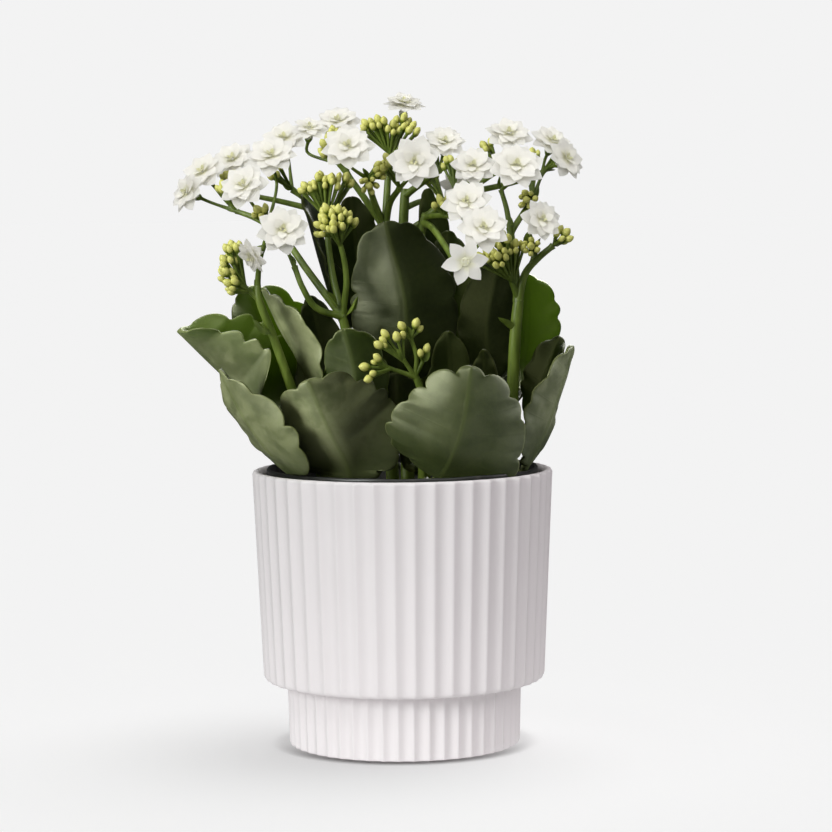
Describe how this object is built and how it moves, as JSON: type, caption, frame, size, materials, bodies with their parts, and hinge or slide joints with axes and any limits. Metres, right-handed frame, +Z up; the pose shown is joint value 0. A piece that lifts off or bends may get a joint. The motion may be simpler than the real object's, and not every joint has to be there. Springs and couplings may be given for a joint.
{
  "type": "potted kalanchoe",
  "caption": "Flowering kalanchoe with thick toothed leaves, forked stems, buds and white double flowers, in a grower's pot inside a fluted white planter.",
  "frame": {"origin": "centre of the planter's foot, on the surface that it stands on", "axes": "+Z up the planter's axis, -Y towards the front of the plant, +X to the right as seen from the front"},
  "size_m": [0.1649, 0.1249, 0.2622],
  "materials": {
    "ceramic": "matt white stoneware",
    "black_plastic": "thin moulded black plastic",
    "peat": "dark moist potting soil",
    "stem": "smooth green stem, cream to yellow-green buds",
    "leaf": "thick green leaf, glossy above and grey-green below",
    "petal": "soft white petals, pale yellow-green hearts"
  },
  "bodies": {
    "root": {"planter": "ceramic", "grower_pot": "black_plastic", "soil": "peat", "stem_left": "stem", "stem_centre_left": "stem", "stem_centre": "stem", "stem_centre_right": "stem", "stem_right": "stem", "stem_front": "stem", "stem_back": "stem", "leaf_front_right": "leaf", "leaf_front_left": "leaf", "leaf_left_low": "leaf", "leaf_left_high": "leaf", "leaf_left_inner": "leaf", "leaf_centre_small": "leaf", "leaf_centre_big": "leaf", "leaf_right_inner": "leaf", "leaf_right_bright": "leaf", "leaf_right_dark": "leaf", "leaf_right_low": "leaf", "leaf_inner_right": "leaf", "leaf_inner_narrow": "leaf", "leaf_front_middle": "leaf", "leaf_top_right": "leaf", "leaf_middle_right": "leaf", "leaf_top_left": "leaf", "leaf_left_strip": "leaf", "leaf_left_dark": "leaf", "leaf_inner_left": "leaf", "leaf_back_left": "leaf", "leaf_back_right": "leaf", "leaf_back": "leaf", "leaf_back_low_left": "leaf", "leaf_back_low_right": "leaf", "leaf_back_high": "leaf", "bloom_01": "petal", "bloom_02": "petal", "bloom_03": "petal", "bloom_04": "petal", "bloom_05": "petal", "bloom_06": "petal", "bloom_07": "petal", "bloom_08": "petal", "bloom_09": "petal", "bloom_10": "petal", "bloom_11": "petal", "bloom_12": "petal", "bloom_13": "petal", "bloom_14": "petal", "bloom_15": "petal", "bloom_16": "petal", "bloom_17": "petal", "bloom_18": "petal", "bloom_19": "petal", "bloom_20": "petal", "bloom_21": "petal", "bloom_22": "petal", "bloom_23": "petal", "bloom_24": "petal"}
  },
  "joints": []
}
